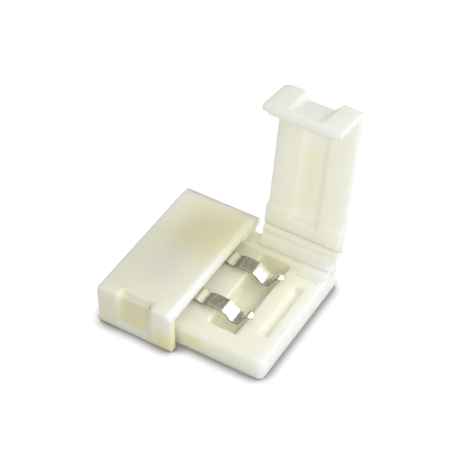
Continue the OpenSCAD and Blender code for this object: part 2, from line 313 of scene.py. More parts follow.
def shrunk(corners, distance):
    """Anticlockwise corners (y, z, cut) moved inwards.

    Each goes along the sum of its two edge normals over 1 + their dot product, times the distance. The cut
    of an outer corner shrinks by the distance times the tangent of half the turn."""
    points, cut = corners[:, :2], corners[:, 2]
    edge = np.roll(points, -1, axis=0) - points
    edge /= np.linalg.norm(edge, axis=1, keepdims=True)
    normal = np.stack([-edge[:, 1], edge[:, 0]], axis=1)
    before, edge_before = np.roll(normal, 1, axis=0), np.roll(edge, 1, axis=0)
    dot = 1 + (edge * edge_before).sum(axis=1)
    half_turn = (edge_before[:, 0] * edge[:, 1] - edge_before[:, 1] * edge[:, 0]) / dot
    moved = points + (normal + before) * (distance / dot)[:, None]
    return np.column_stack([moved, np.clip(cut - half_turn.clip(0) * distance, HAIR, None)])


def smoothstep(values, low, high):
    """Smooth rise from 0 at low to 1 at high."""
    t = np.clip((values - low) / (high - low), 0, 1)
    return t * t * (3 - 2 * t)


def drawn_in(x, end, radius):
    """How far a round edge at the end has drawn in at x: r - sqrt(r^2 - d^2), d from the round's start."""
    near = np.clip(x - (end - radius), 0, radius)
    return radius - np.sqrt(np.maximum(radius**2 - near**2, 0))


def refined(rings, gap):
    """Rings, with more of them in straight lines between neighbours that lie further apart than the gap."""
    away = np.abs(np.diff(rings[:, :, 0].mean(axis=1)))
    extra = np.maximum(np.ceil(away / gap).astype(int), 1)
    start = np.repeat(np.arange(len(extra)), extra)
    part = (np.arange(extra.sum()) - np.repeat(np.cumsum(extra) - extra, extra)) / np.repeat(extra, extra)
    part = part[:, None, None]
    return np.concatenate([rings[start] * (1 - part) + rings[start + 1] * part, rings[-1:]])


def loft(rings):
    """Points and faces of a closed skin through rings of equal length, with a flat cap at each end.

    Rings run anticlockwise seen from +X and are stacked towards +X, so each face points outwards."""
    count, size = rings.shape[:2]
    i, j = np.meshgrid(np.arange(count - 1), np.arange(size), indexing="ij")
    k = (j + 1) % size
    quads = np.stack([i * size + j, i * size + k, (i + 1) * size + k, (i + 1) * size + j], axis=-1)
    quads = quads.reshape(-1, 4)
    first = np.arange(size)[::-1]
    last = np.arange(size) + (count - 1) * size
    return rings.reshape(-1, 3), [*quads.tolist(), first.tolist(), last.tolist()]


def solid(name, points, faces):
    """Object made of a closed shell of points and faces, shaded smooth with flat faces kept flat."""
    mesh = bpy.data.meshes.new(name)
    mesh.from_pydata(points.tolist(), [], faces)
    mesh.update()
    mesh.polygons.foreach_set("use_smooth", np.ones(len(mesh.polygons), bool))
    piece = bpy.data.objects.new(name, mesh)
    bpy.context.scene.collection.objects.link(piece)
    piece.modifiers.new("Flat faces", "WEIGHTED_NORMAL").weight = 80
    return piece


# Tray


def tray_body(s):
    """Shell of the tray: sections across the strip, carried along it.

    The floor is a height for each zone along X and each lane along Y. across_walls() runs first along X and
    then along Y, which rounds each step both ways. The ends narrow as x nears the end: the front by
    r - sqrt(r^2 - d^2) with the corner's radius, and the rest alike with the end's radius."""
    half_x, front, rear = tray_high.x, tray_low.y, -tray_low.y
    channel, lane, seat = s.channel / 2, s.seat_pitch / 2, s.seat_w / 2
    groove_high = channel - s.groove_rear
    gauge_low = channel - s.gauge_rear
    # Lanes along Y and zones along X
    y_walls = np.array([-channel, groove_high - s.groove_len, -lane - seat, -lane + seat, lane - seat,
                        groove_high, lane + seat, gauge_low, gauge_low + s.gauge_w, channel])
    right = np.array([s.seat_len / 2, s.pit_start, s.pit_start + s.pit_len, s.gauge_start,
                      s.groove_start, s.groove_start + s.groove_w, s.gauge_start + s.gauge_len])
    x_walls = np.concatenate([-right[::-1], right])
    x_mid = np.concatenate([[-half_x], x_walls, [half_x]])
    x_mid = np.abs((x_mid[1:] + x_mid[:-1]) / 2)[:, None]
    y_mid = np.concatenate([[front], y_walls, [rear]])
    y_mid = ((y_mid[1:] + y_mid[:-1]) / 2)[None, :]
    inside = np.abs(y_mid) < channel
    height = np.where(y_mid > channel, s.wall_z, s.floor_z) + 0 * x_mid
    on_seat = (x_mid < s.seat_len / 2) & (np.abs(np.abs(y_mid) - lane) < seat)
    in_pit = (x_mid > s.pit_start) & (x_mid < s.pit_start + s.pit_len) & inside
    in_groove = (np.abs(x_mid - s.groove_start - s.groove_w / 2) < s.groove_w / 2) \
        & (y_mid < groove_high) & (y_mid > groove_high - s.groove_len)
    in_gauge = (x_mid > s.gauge_start) & (x_mid < s.gauge_start + s.gauge_len) \
        & (y_mid > gauge_low) & (y_mid < gauge_low + s.gauge_w)
    height = np.where(on_seat, s.floor_z + s.seat_h, height)
    height = np.where(in_pit, s.pit_skin, height)
    height = np.where(in_groove, s.floor_z - s.groove_depth, height)
    height = np.where(in_gauge, s.floor_z - s.gauge_depth, height)[:, :, None]
    # Radius at each wall
    r = s.wall_r
    x_soft = np.array([s.fine_r, r, r, s.fine_r, s.groove_r, s.groove_r, s.fine_r])
    x_soft = np.concatenate([x_soft[::-1], x_soft])
    y_soft = np.array([r, s.groove_r, s.fine_r, s.fine_r, s.fine_r, s.groove_r, s.fine_r, s.fine_r,
                       s.fine_r, r])
    x, across = across_walls(x_walls, x_soft, x_soft, height[:-1], height[1:])
    # End stations round the corner
    rise, _ = quarter(9)
    start = x_walls[-1] + 2 * s.fine_r
    end_x = start + (half_x - start) * rise
    x = np.concatenate([-end_x[::-1], x, end_x])
    end = len(end_x)
    across = np.concatenate([across[:1].repeat(end, 0), across, across[-1:].repeat(end, 0)])
    lanes = across[:, :, 0].T[:, :, None]
    y, top = across_walls(y_walls, y_soft, y_soft, lanes[:-1], lanes[1:])
    top = top[:, :, 0].T
    # Ring: underside, rear face, floor from the rear to the front, front face
    rise, fall = quarter(4)
    foot = s.foot_r
    under_y = np.concatenate([[front + foot], rear - foot + foot * rise])
    under_z = np.concatenate([[0], foot * fall])
    back_y = rear - foot * fall
    back_z = s.wall_z - foot + foot * rise
    big_rise, big_fall = quarter(8)
    nose_y = front + s.corner_r - s.corner_r * big_rise
    nose_z = s.floor_z - s.corner_r * big_fall
    toe_y = front + foot * fall
    toe_z = foot - foot * rise
    n = len(x)
    ring_y = np.concatenate([under_y, back_y, y[::-1], nose_y, toe_y[:-1]])
    ring_z = np.concatenate([np.tile(np.concatenate([under_z, back_z]), (n, 1)), top[:, ::-1],
                             np.tile(np.concatenate([nose_z, toe_z[:-1]]), (n, 1))], axis=1)
    ring_y = np.tile(ring_y, (n, 1))
    # Narrow the ends. Between the foot and the top the change of height fades out round a middle height.
    middle_z, fade = 0.0012, 0.001
    corner_in, end_in = (drawn_in(np.abs(x), half_x, radius)[:, None] for radius in (s.corner_r, s.end_r))
    at_front = np.clip((-channel - ring_y) / (-channel - (front + s.corner_r)), 0, 1)
    at_rear = np.clip((ring_y - channel - r) / (rear - foot - channel - r), 0, 1)
    at_top = np.clip((ring_z - middle_z) / fade, 0, 1)
    at_foot = np.clip((middle_z - ring_z) / fade, 0, 1)
    ring_y = ring_y + at_front * corner_in - at_rear * end_in
    ring_z = ring_z + (at_foot - at_top) * end_in
    rings = np.stack([np.repeat(x[:, None], ring_y.shape[1], 1), ring_y, ring_z], axis=-1)
    return loft(refined(rings, TRAY_RING_GAP))


def hinge_strip(s, x0, x1):
    """Shell of one hinge: a bead on a web that runs smoothly into the rear wall, carried along X.

    The bead is a circle about the hinge line, from the web's outer side at -113 degrees round to its inner
    side at 193. The inner side goes on as the curve (1-t)^2 B + 2t(1-t) C + t^2 A from B on the bead to A on
    the wall's top, with C just inside B and just above the wall. The foot is sunk in the wall, and r is the
    radius at the ends."""
    hy, hz = hinge_line()
    rear, foot_z, r = -tray_low.y, s.wall_z - 0.0003, 0.0001
    side = s.web_t / 2 * math.sqrt(0.5)
    turn = np.linspace(math.radians(-113), math.radians(193), 34)
    circle = np.stack([hy + s.bead_r * np.cos(turn), hz + s.bead_r * np.sin(turn)], axis=1)
    t = np.linspace(0, 1, 14)[1:, None]
    a, b = np.array([rear - s.hinge_run, s.wall_z]), circle[-1]
    c = np.array([b[0] - 0.00002, s.wall_z + 0.00003])
    fillet = (1 - t) ** 2 * b + 2 * t * (1 - t) * c + t**2 * a
    outline = np.concatenate([[[rear, foot_z], [rear, hz - side - (hy + side - rear)]], circle, fillet,
                              [[a[0], foot_z]]])
    count = len(outline)
    outline = np.column_stack([outline, np.full(count, HAIR)])
    rise, fall = quarter(4)
    ends = [*zip(x0 + r - r * rise[::-1], r * fall[::-1]), *zip(x1 - r + r * rise, r * fall)]
    rings = [np.column_stack([np.full(count, x), shrunk(outline, np.full(count, v))[:, :2]]) for x, v in ends]
    return loft(refined(np.stack(rings), HINGE_RING_GAP))


# Lids


def lid_corners(s, pocket=False, cut=False, hollow=False, ridge=False):
    """Anticlockwise section of the closed lid as corners (y, z, cut), the same number in every state.

    The cut is the length of the corner's rounding. The list runs clockwise, from the flange's foot up its
    front, over the top, round the hinge groove and back under the ledge and the panel, and is turned round
    at the end."""
    hy, hz = hinge_line()
    in_y = tray_low.y - s.flange_gap
    out_y = in_y - s.flange_t
    top, under = s.top_z, s.top_z - s.panel_t
    ledge = under - s.ledge_t
    step = top - s.pocket_ledge
    turn = np.linspace(math.radians(72), math.radians(193.12), 9)
    groove = np.stack([hy + s.groove_r * np.cos(turn), hz + s.groove_r * np.sin(turn)], axis=1)
    ledge_rear = groove[-1, 0] - (groove[-1, 1] - ledge)
    ledge_front = ledge_rear - s.ledge_w + (s.hollow_cut if cut else 0)
    hollow_y = out_y + s.hollow_front
    roof = under + (s.hollow_depth if hollow else 0)
    ridge_y = in_y + (s.ridge_in if ridge else 0)
    pocket_y = out_y + s.pocket_depth
    corners = [
        (out_y, 0, 0.00014), (out_y, s.pocket_low, 0.0002),
        (in_y - s.pocket_skin, step, 0.0002) if pocket else (out_y, step, 0.00003),
        (pocket_y, step, 0.0002) if pocket else (out_y, top, 0.0003),
        (pocket_y, top, 0.00035 if pocket else 0.0001),
        (hy - s.taper + s.lip, top, 0.0002),
        (groove[0, 0], groove[0, 1] + s.lip, 0.00003),
        *[(y, z, 0.00002) for y, z in groove],
        (ledge_rear, ledge, 0.00012), (ledge_front, ledge, 0.00018),
        (ledge_front, roof, 0.00006), (ledge_front - 0.0003, roof, 0.00006),
        (hollow_y + 0.0006, roof, 0.00025), (hollow_y, under, 0.00025),
        (in_y, under, 0.0002), (in_y, s.ridge_h, 0.00002),
        (ridge_y, s.ridge_h * 0.8, 0.00004), (ridge_y, s.ridge_h * 0.6, 0.00004), (in_y, 0, 0.00012),
    ]
    return np.array(corners)[::-1]


def closed_lid(s):
    """Shell of the closed right lid: its section carried along X.

    The section at x is the plain one, plus for the ridge, pocket, hollow and cut each its own section less
    the plain one, times a share that rises from 0 to 1 by a smooth step across its sides. Each ring's x runs
    evenly from one end's radius to the other's. The ends turn by a quarter circle of that radius, which is
    larger on the top face and almost 0 at the tip by the hinge. The crown lowers the panel with the cube of
    the distance from its middle."""
    x0, x1 = s.gap / 2, tray_high.x
    mid = (x0 + x1) / 2
    corners = lid_corners(s)
    y, z = np.repeat(corners[:, 0], 5), np.repeat(corners[:, 1], 5)
    on_top = smoothstep(z, s.top_z - 0.0005, s.top_z - 0.0001)
    near_tip, tip_r = smoothstep(y, 0.0066, 0.0072), 0.00003  # the tip by the hinge
    inner, outer = ((s.edge_r + (r - s.edge_r) * on_top) * (1 - near_tip) + tip_r * near_tip
                    for r in (s.inner_r, s.outer_r))
    t = np.linspace(0, 1, 160)[:, None]
    x = (x0 + inner) * (1 - t) + (x1 - outer) * t
    away = np.abs(x - mid)
    half_hollow, half_slope, crisp = s.hollow_w / 2, s.hollow_slope / 2, 0.00005
    outline = rounded(corners)
    section = np.tile(outline, (len(t), 1, 1))
    for form, reach, soft in (("ridge", mid - x0 - s.ridge_inset, crisp),
                              ("pocket", s.pocket_w / 2, s.pocket_soft),
                              ("cut", half_hollow, crisp),
                              ("hollow", half_hollow - half_slope + 0.0001, half_slope)):
        share_of_form = smoothstep(-away, -reach - soft, -reach + soft)[:, :, None]
        section += share_of_form * (rounded(lid_corners(s, **{form: True})) - outline)
    middle = np.concatenate([x[:, :, None], section], axis=2)
    ends = []
    for side, edge_x, radius in ((-1, x0, inner), (1, x1, outer)):
        turned = [np.column_stack([edge_x - side * radius * (1 - u),
                                   rounded(shrunk(corners, radius[::5] * v))])
                  for u, v in zip(*quarter(8))]
        ends.append(np.stack(turned[:0:-1] if side < 0 else turned[1:]))
    rings = np.concatenate([ends[0], middle, ends[1]])
    across = np.abs(rings[:, :, 0] - mid) / (mid - x0)
    lift = np.clip((rings[:, :, 2] - (s.top_z - s.panel_t)) / s.panel_t, 0, 1)
    rings[:, :, 2] -= s.crown * across**3 * lift
    return loft(rings)


def turned_open(points, degrees):
    """Points turned about the hinge line: the lid opens by the given angle."""
    hy, hz = hinge_line()
    c, d = math.cos(math.radians(-degrees)), math.sin(math.radians(-degrees))
    y, z = points[:, 1] - hy, points[:, 2] - hz
    return np.stack([points[:, 0], hy + c * y - d * z, hz + d * y + c * z], axis=1)


# Contacts


def contact_strip(s, middle_y):
    """Shell of one spring contact, and the share of sheared side at each point.

    A rounded oblong section is carried along a wave in X and Z. Between two stations the height follows half
    a cosine wave. The half width narrows to the tip's by a smooth step, and ends as the square root of
    r^2 - d^2. Each corner of the section is a quarter circle (r cos a, r sin a) about a point one radius
    inside it, and the part of it that faces sideways counts as sheared. That part takes in most of each
    rounded edge, so the sheared colour also paints a dark outline there in place of its bright reflection."""
    lift_end = s.reach - s.tip_len
    dip_end = lift_end - s.lift_len
    xs = np.array([0, s.root_half, s.crest_start, s.crest_start + s.crest_len, dip_end - s.dip_len,
                   dip_end, lift_end, s.reach])
    zs = s.root_z + np.array([0, 0, s.crest, s.crest - s.crest_sag, -s.dip,
                              -s.dip, s.tip, s.tip - s.tip_drop])
    tip_r = s.tip_w / 2
    x = np.linspace(0, s.reach - tip_r, 150)[:-1]
    x = np.concatenate([x, s.reach - tip_r + tip_r * quarter(12)[0]])
    k = np.clip(np.searchsorted(xs, x, side="right") - 1, 0, len(xs) - 2)
    z = zs[k] + (zs[k + 1] - zs[k]) * (1 - np.cos(np.pi * (x - xs[k]) / (xs[k + 1] - xs[k]))) / 2
    neck = smoothstep(x, s.reach - s.neck_gap - s.neck_len, s.reach - s.neck_gap)
    half = s.width / 2 * (1 - neck) + tip_r * neck
    half = np.maximum(half - drawn_in(x, s.reach, tip_r), s.edge_r)
    x, z, half = (np.concatenate([sign * v[:0:-1], v]) for sign, v in ((-1, x), (1, z), (1, half)))
    along = np.stack([np.gradient(x), np.gradient(z)])
    along /= np.linalg.norm(along, axis=0)
    r = s.edge_r
    a = np.linspace(0, np.pi / 2, 4)
    a = np.concatenate([a, a + np.pi / 2, a + np.pi, a + 1.5 * np.pi])
    right, top = np.repeat([1, -1, -1, 1], 4), np.repeat([1, 1, 0, 0], 4)
    y = right * (half[:, None] - r) + r * np.cos(a)
    depth = np.where(top, -r, r - s.metal_t) + r * np.sin(a)
    px = x[:, None] - along[1][:, None] * depth
    pz = z[:, None] + along[0][:, None] * depth
    # Painted dark outline: the mask takes in most of each rounded edge besides the sheared side.
    side = np.tile(np.abs(np.cos(a)) > 0.4, len(x)).astype(float)
    return loft(np.stack([px, middle_y + y, pz], axis=-1)), side


# Materials


def add(tree, kind, place, links=(), given=(), **values):
    """New shader node.

    Links are (socket, output) pairs and given values are (socket, value) pairs. The other values go to the
    node's attribute of that name, or else to its socket."""
    made = tree.nodes.new(kind)
    made.location = place
    for key, value in values.items():
        if hasattr(made, key):
            setattr(made, key, value)
        else:
            made.inputs[key.replace("_", " ")].default_value = value
    for socket, value in given:
        made.inputs[socket].default_value = value
    for socket, output in links:
        tree.links.new(output, made.inputs[socket])
    return made


def new_material(name):
    """Material with nodes, its tree and its shader."""
    material = bpy.data.materials.new(name)
    material.use_nodes = True
    return material, material.node_tree, material.node_tree.nodes["Principled BSDF"]


def bare_material(name):
    """Material without nodes in its tree, and the tree."""
    material, tree, _ = new_material(name)
    tree.nodes.clear()
    return material, tree


def colour_ramp(tree, place, value, stops):
    """Output that turns a value into a colour, by straight lines between stops (position, colour)."""
    ramp = add(tree, "ShaderNodeValToRGB", place, links=((0, value),))
    elements = ramp.color_ramp.elements
    elements.remove(elements[1])
    elements[0].position, elements[0].color = stops[0][0], (*stops[0][1], 1)
    for position, tone in stops[1:]:
        elements.new(position).color = (*tone, 1)
    return ramp.outputs[0]


def noise(tree, place, point, scale, detail):
    """Noise with the given number of features in a millimetre."""
    return add(tree, "ShaderNodeTexNoise", place, Scale=scale, Detail=detail, links=(("Vector", point),))


def surface(tree, shader, tone, rough, height, relief):
    """Gives the shader its colour, its roughness and a bump: the height, from 0 to 1, times the relief."""
    bump = add(tree, "ShaderNodeBump", (-300, 700), Strength=1.0, Distance=relief,
               links=(("Height", height),))
    for socket, output in (("Base Color", tone), ("Roughness", rough), ("Normal", bump.outputs[0])):
        tree.links.new(output, shader.inputs[socket])


def seen_ray(tree):
    """Output that is 1 for rays from the camera, from a mirror or through glass, and 0 for the rest."""
    path = add(tree, "ShaderNodeLightPath", (-400, 400))
    ray = path.outputs["Is Camera Ray"]
    for number, kind in enumerate(("Is Glossy Ray", "Is Transmission Ray")):
        ray = add(tree, "ShaderNodeMath", (200 * number - 200, 400), operation="MAXIMUM",
                  links=((0, ray), (1, path.outputs[kind]))).outputs[0]
    return ray


def soft_box():
    """Node group: the amount inside a box and 0 outside, eased by a smooth step along each axis.

    The step runs from one softness inside the box's face to one softness outside it."""
    group = bpy.data.node_groups.new("soft box", "ShaderNodeTree")
    for name, kind in (("Point", "NodeSocketVector"), ("Middle", "NodeSocketVector"),
                       ("Half Size", "NodeSocketVector"), ("Softness", "NodeSocketFloat"),
                       ("Amount", "NodeSocketFloat")):
        group.interface.new_socket(name, in_out="INPUT", socket_type=kind)
    group.interface.new_socket("Mask", in_out="OUTPUT", socket_type="NodeSocketFloat")
    given = add(group, "NodeGroupInput", (-800, 0))
    away = add(group, "ShaderNodeVectorMath", (-600, 0), operation="SUBTRACT",
               links=((0, given.outputs["Point"]), (1, given.outputs["Middle"])))
    away = add(group, "ShaderNodeVectorMath", (-400, 0), operation="ABSOLUTE", links=((0, away.outputs[0]),))
    past = add(group, "ShaderNodeVectorMath", (-200, 0), operation="SUBTRACT",
               links=((0, away.outputs[0]), (1, given.outputs["Half Size"])))
    axes = add(group, "ShaderNodeSeparateXYZ", (0, 0), links=((0, past.outputs[0]),))
    low = add(group, "ShaderNodeMath", (0, -200), operation="MULTIPLY", given=((1, -1),),
              links=((0, given.outputs["Softness"]),))
    mask = given.outputs["Amount"]
    for index in range(3):
        eased = add(group, "ShaderNodeMapRange", (200, -200 * index), interpolation_type="SMOOTHSTEP",
                    To_Min=1.0, To_Max=0.0,
                    links=(("Value", axes.outputs[index]), ("From Min", low.outputs[0]),
                           ("From Max", given.outputs["Softness"])))
        mask = add(group, "ShaderNodeMath", (400, -200 * index), operation="MULTIPLY",
                   links=((0, mask), (1, eased.outputs[0]))).outputs[0]
    add(group, "NodeGroupOutput", (600, 0), links=((0, mask),))
    return group


def box_mask(tree, place, point, middle, half, softness, amount):
    """Output of one soft box, which is the amount inside it and 0 outside."""
    group = bpy.data.node_groups.get("soft box") or soft_box()
    return add(tree, "ShaderNodeGroup", place, node_tree=group, links=(("Point", point),),
               given=(("Middle", middle), ("Half Size", half), ("Softness", softness),
                      ("Amount", amount))).outputs[0]


def nylon(s, name, turn, place, flip, patches, subsurface, scatter):
    """Cloudy translucent nylon.

    Object coordinates are turned, moved and flipped into the closed right lid's or the tray's own
    millimetres. The share of golden colour there is the base, plus the clouds, the patches and the mottle,
    and a ramp gives it a colour: white at 0, thick nylon at 0.4 and thin nylon at 1. Some patches use the
    golden end for painted shade and the white end for painted highlights."""
    material, tree, shader = new_material(name)
    for socket, value in (("Subsurface Weight", subsurface), ("Subsurface Scale", scatter),
                          ("Subsurface Radius", (1.0, 1.0, 1.0)), ("IOR", 1.5)):
        shader.inputs[socket].default_value = value
    coords = add(tree, "ShaderNodeTexCoord", (-2000, 0))
    point = add(tree, "ShaderNodeMapping", (-1800, 0), links=((0, coords.outputs["Object"]),), Location=place,
                Rotation=(turn, 0, 0), Scale=(flip * 1000, 1000, 1000)).outputs[0]
    clouds = noise(tree, (-1500, 400), point, s.cloud_scale, 3).outputs[0]
    mottle = noise(tree, (-1500, 700), point, s.mottle_scale, 2).outputs[0]
    grain = noise(tree, (-1500, 1000), point, s.grain_scale, 2).outputs[0]
    total = add(tree, "ShaderNodeMath", (-1200, 400), operation="MULTIPLY_ADD", links=((0, clouds),),
                given=((1, s.clouds), (2, -s.clouds / 2 + s.base))).outputs[0]
    for index, patch in enumerate(patches):
        box = box_mask(tree, (-1200, -220 * index), point, *patch)
        total = add(tree, "ShaderNodeMath", (-900, -220 * index), operation="ADD",
                    links=((0, total), (1, box))).outputs[0]
    total = add(tree, "ShaderNodeMath", (-700, 300), operation="MULTIPLY_ADD", use_clamp=True,
                links=((0, mottle), (2, total)), given=((1, s.mottle),)).outputs[0]
    tone = colour_ramp(tree, (-500, 200), total, ((0, s.white), (0.4, s.thick), (1, s.thin)))
    rough = add(tree, "ShaderNodeMapRange", (-500, -200), To_Min=s.roughness - 0.06,
                To_Max=s.roughness + 0.06, links=(("Value", mottle),)).outputs[0]
    height = add(tree, "ShaderNodeMath", (-500, 700), operation="MULTIPLY_ADD",
                 links=((0, grain), (2, mottle)), given=((1, 0.25),)).outputs[0]
    surface(tree, shader, tone, rough, height, s.relief)
    return material


def tinned(s):
    """Tin plating with a fine grain and duller handled spots, with a dark reflection painted in the middle.

    Two patches mark the stretch with the painted dark reflection and, in it, the root with a painted pale
    reflection of the nylon. The spots move their ends to and fro along the strip. The darkened stretch is
    rougher than the plating and less like metal."""
    material, tree, shader = new_material("tinned")
    coords = add(tree, "ShaderNodeTexCoord", (-1400, 0))
    point = add(tree, "ShaderNodeMapping", (-1200, 0), links=((0, coords.outputs["Object"]),),
                Scale=(1000, 1000, 1000)).outputs[0]
    spots = noise(tree, (-900, 200), point, s.spot_scale, 4)
    grain = noise(tree, (-900, -200), point, s.grain_scale, 3).outputs[0]
    tone = colour_ramp(tree, (-600, 200), spots.outputs[0], ((0.35, s.bright), (0.7, s.dull)))
    wobble = add(tree, "ShaderNodeVectorMath", (-900, -500), operation="MULTIPLY_ADD",
                 links=((0, spots.outputs["Color"]), (2, point)), given=((1, (0.5, 0, 0)),)).outputs[0]
    # Painted dark reflection beside the root.
    dark_reflection = box_mask(tree, (-600, -300), wobble, *DARK_REFLECTION_PATCH)
    # Painted pale reflection of the nylon on the root.
    root = box_mask(tree, (-600, -500), wobble, *PALE_REFLECTION_PATCH)
    side = add(tree, "ShaderNodeAttribute", (-600, 500), attribute_name="side").outputs["Fac"]
    for number, (mask, reflection_and_sheared_tone) in enumerate(((dark_reflection, s.dark_reflection), (root, s.root), (side, s.sheared))):
        tone = add(tree, "ShaderNodeMix", (200 * number - 400, 200), data_type="RGBA", blend_type="MIX",
                   links=((0, mask), (6, tone)), given=((7, (*reflection_and_sheared_tone, 1)),)).outputs[2]
    rough = add(tree, "ShaderNodeMapRange", (-600, -100), To_Min=s.roughness - 0.05,
                To_Max=s.roughness + 0.12, links=(("Value", grain),)).outputs[0]
    rough = add(tree, "ShaderNodeMath", (-400, -200), operation="MULTIPLY_ADD",
                links=((0, dark_reflection), (2, rough)), given=((1, 0.3),)).outputs[0]
    metal = add(tree, "ShaderNodeMapRange", (-400, -500), To_Min=1.0, To_Max=0.3,
                links=(("Value", dark_reflection),)).outputs[0]
    tree.links.new(metal, shader.inputs["Metallic"])
    surface(tree, shader, tone, rough, grain, s.relief)
    return material


# Patches, in millimetres: middle, half size, softness and amount. On the nylon the amount is the share of
# golden colour that the patch adds, and one below 0 makes it whiter. Some nylon patches are thin nylon, and
# others, marked one by one, are painted shade (golden) and painted light (whiter).
TRAY_PATCHES = (
    # Painted shade: golden on the front face beside the closed lid's flange.
    ((1.2, -7.25, 1.2), (0.9, 0.5, 0.8), 0.7, 0.6),
    ((3.15, 0, 0.9), (1.4, 5.0, 0.5), 0.5, 0.15),
    # Painted shade: golden on the floor at the rear of the channel and at the foot of the rear wall.
    ((2.6, 4.2, 2.6), (2.6, 2.4, 0.6), 1.4, 0.4),
    # Painted light: whiter on the rear wall's right end, which the lamps light.
    ((7.5, 6.0, 2.6), (1.5, 1.2, 0.6), 0.8, -0.25),
    # Painted light: whiter in the right cross groove, against the golden shade of light bouncing in it.
    ((6.95, -0.4, 1.9), (0.35, 3.4, 0.3), 0.25, -0.15),
    # Painted light: whiter towards the lit right end.
    ((9.3, 0, 1.2), (1.2, 9, 3), 1.2, -0.35),
)
CLOSED_PATCHES = (
    ((4.5, 0, 3), (9, 12, 6), 1, 0.08),
    # Painted shade: golden on the front of the outer tab.
    ((8.0, -8.5, 2.0), (1.6, 0.8, 2.2), 0.8, 0.15),
    # Golden in the finger pocket: partly the thin skin behind it, partly painted shade in the recess.
    ((4.7, -8.3, 2.65), (1.4, 0.9, 1.3), 0.45, 1.0),
    # Golden on the top towards the hinge: partly the thinner panel over the hollow, partly the open lid's
    # painted shadow.
    ((3.7, 3.2, 4.9), (3.0, 3.5, 0.5), 1.9, 0.72),
    # Painted highlight: whiter at the top's front corner by the middle.
    ((0.6, -7.6, 4.6), (0.7, 1.6, 1.0), 1.2, -0.35),
    # Painted highlight: whiter along the long top edge by the middle.
    ((0.5, -3.4, 4.6), (0.5, 5.0, 0.7), 0.5, -0.35),
    # Painted shade: golden low on the flange's end by the middle.
    ((0.9, -8.4, 0.8), (1.3, 0.9, 1.2), 1.1, 0.8),
    # Painted shade: golden on the flange's end face by the middle.
    ((0.4, -8.2, 2.2), (0.1, 0.7, 2.2), 0.1, 0.4),
    ((6.19, -3.91, 4.8), (0.05, 0.8, 0.2), 0.06, -1.0),
    # Painted shade: golden at the pocket's outer end, darkening its lit wall.
    ((6.4, -7.9, 4.4), (0.4, 0.5, 0.4), 0.3, 0.2),
)
OPEN_PATCHES = (
    ((4.5, 0, 3), (9, 12, 6), 1, 0.1),
    ((4.4, 0.6, 4.1), (0.9, 3.6, 0.6), 1.3, 0.6),
    # Painted light: whiter on the flange.
    ((4.575, -8.0, 2.2), (6, 1.2, 4), 2.0, -0.2),
    # Painted light: whiter towards the outer end.
    ((9.2, 0, 4), (1.2, 12, 4), 1.5, -0.15),
)
# Painted dark reflection on the tin beside the root.
DARK_REFLECTION_PATCH = ((0.25, 0, 2.5), (0.75, 5, 1), 0.08, 1)
# Painted pale reflection of the nylon on the tin's root.
PALE_REFLECTION_PATCH = ((-0.1, 0, 2.5), (0.4, 5, 1), 0.08, 1)


# Stage


# Lamps, in metres: name, place and diameter
LAMPS = (
    ("key", (0.055, -0.03, 0.055), 0.035),
    ("back", (0.085, 0.085, 0.09), 0.07),
    ("fill", (-0.05, -0.3, 0.12), 0.2),
    ("glint", (0.08, 0.09, 0.087), 0.1),
)
LAMP_TARGET = Vector((0, 0, 0.004))
FLOOR_HALF = 1.5  # m
# Colour of the visible floor by how openly it lies, a painted contact shadow: stops of openness and colour
FLOOR_STOPS = ((0.53, (0.03, 0.025, 0.03)), (0.76, (0.6, 0.6, 0.62)), (0.97, (1, 1, 1)))


def stage_face(scene, name, corners, material):
    """Flat stage object with one face."""
    mesh = bpy.data.meshes.new(name)
    mesh.from_pydata(corners, [], [(0, 1, 2, 3)])
    mesh.materials.append(material)
    made = bpy.data.objects.new(name, mesh)
    scene.collection.objects.link(made)
    return made


def aimed(scene, name, data, place, towards):
    """Object at a place, looking towards a direction."""
    made = bpy.data.objects.new(name, data)
    made.location = place
    made.rotation_mode = "QUATERNION"
    made.rotation_quaternion = towards.to_track_quat("-Z", "Y")
    scene.collection.objects.link(made)
    return made


# Operators


class CONNECTOR_OT_tray(bpy.types.Operator):
    """Makes the moulded tray with its two hinge beads"""

    bl_idname = "connector.tray"
    bl_label = "Tray"

    def execute(self, context):
        s, lid = context.scene.connector_tray, context.scene.connector_lid
        x0, x1 = lid.gap / 2, tray_high.x
        look = context.scene.connector_nylon
        body, hinge = (nylon(look, name, 0, (0, 0, 0), 1, TRAY_PATCHES, subsurface, look.scatter)
                       for name, subsurface in (("tray nylon", look.subsurface),
                                                ("hinge nylon", look.hinge_subsurface)))
        for name, shell, material in (("tray_moulding", tray_body(s), body),
                                      ("right_hinge", hinge_strip(s, x0, x1), hinge),
                                      ("left_hinge", hinge_strip(s, -x1, -x0), hinge)):
            piece = solid(name, *shell)
            piece.data.materials.append(material)
            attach(piece, "tray")
            if name == "tray_moulding":
                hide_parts("tray")
        return {"FINISHED"}


class CONNECTOR_OT_lids(bpy.types.Operator):
    """Makes the closed left lid and the open right lid"""

    bl_idname = "connector.lids"
    bl_label = "Lids"

    def execute(self, context):
        s = context.scene.connector_lid
        points, faces = closed_lid(s)
        mirrored = points * np.array([-1, 1, 1])
        left = solid("left_lid_moulding", mirrored, [face[::-1] for face in faces])
        right = solid("right_lid_moulding", turned_open(points, OPEN_ANGLE), faces)
        place = 1000 * turned_open(np.zeros((1, 3)), -OPEN_ANGLE)[0]
        look = context.scene.connector_nylon
        for piece, node, *values in (
            (left, "left_lid", 0, (0, 0, 0), -1, CLOSED_PATCHES, look.subsurface, look.scatter),
            (right, "right_lid", math.radians(OPEN_ANGLE), place, 1, OPEN_PATCHES, look.open_subsurface,
             look.open_scatter),
        ):
            piece.data.materials.append(nylon(look, node + " nylon", *values))
            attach(piece, node)
            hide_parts(node)
        return {"FINISHED"}


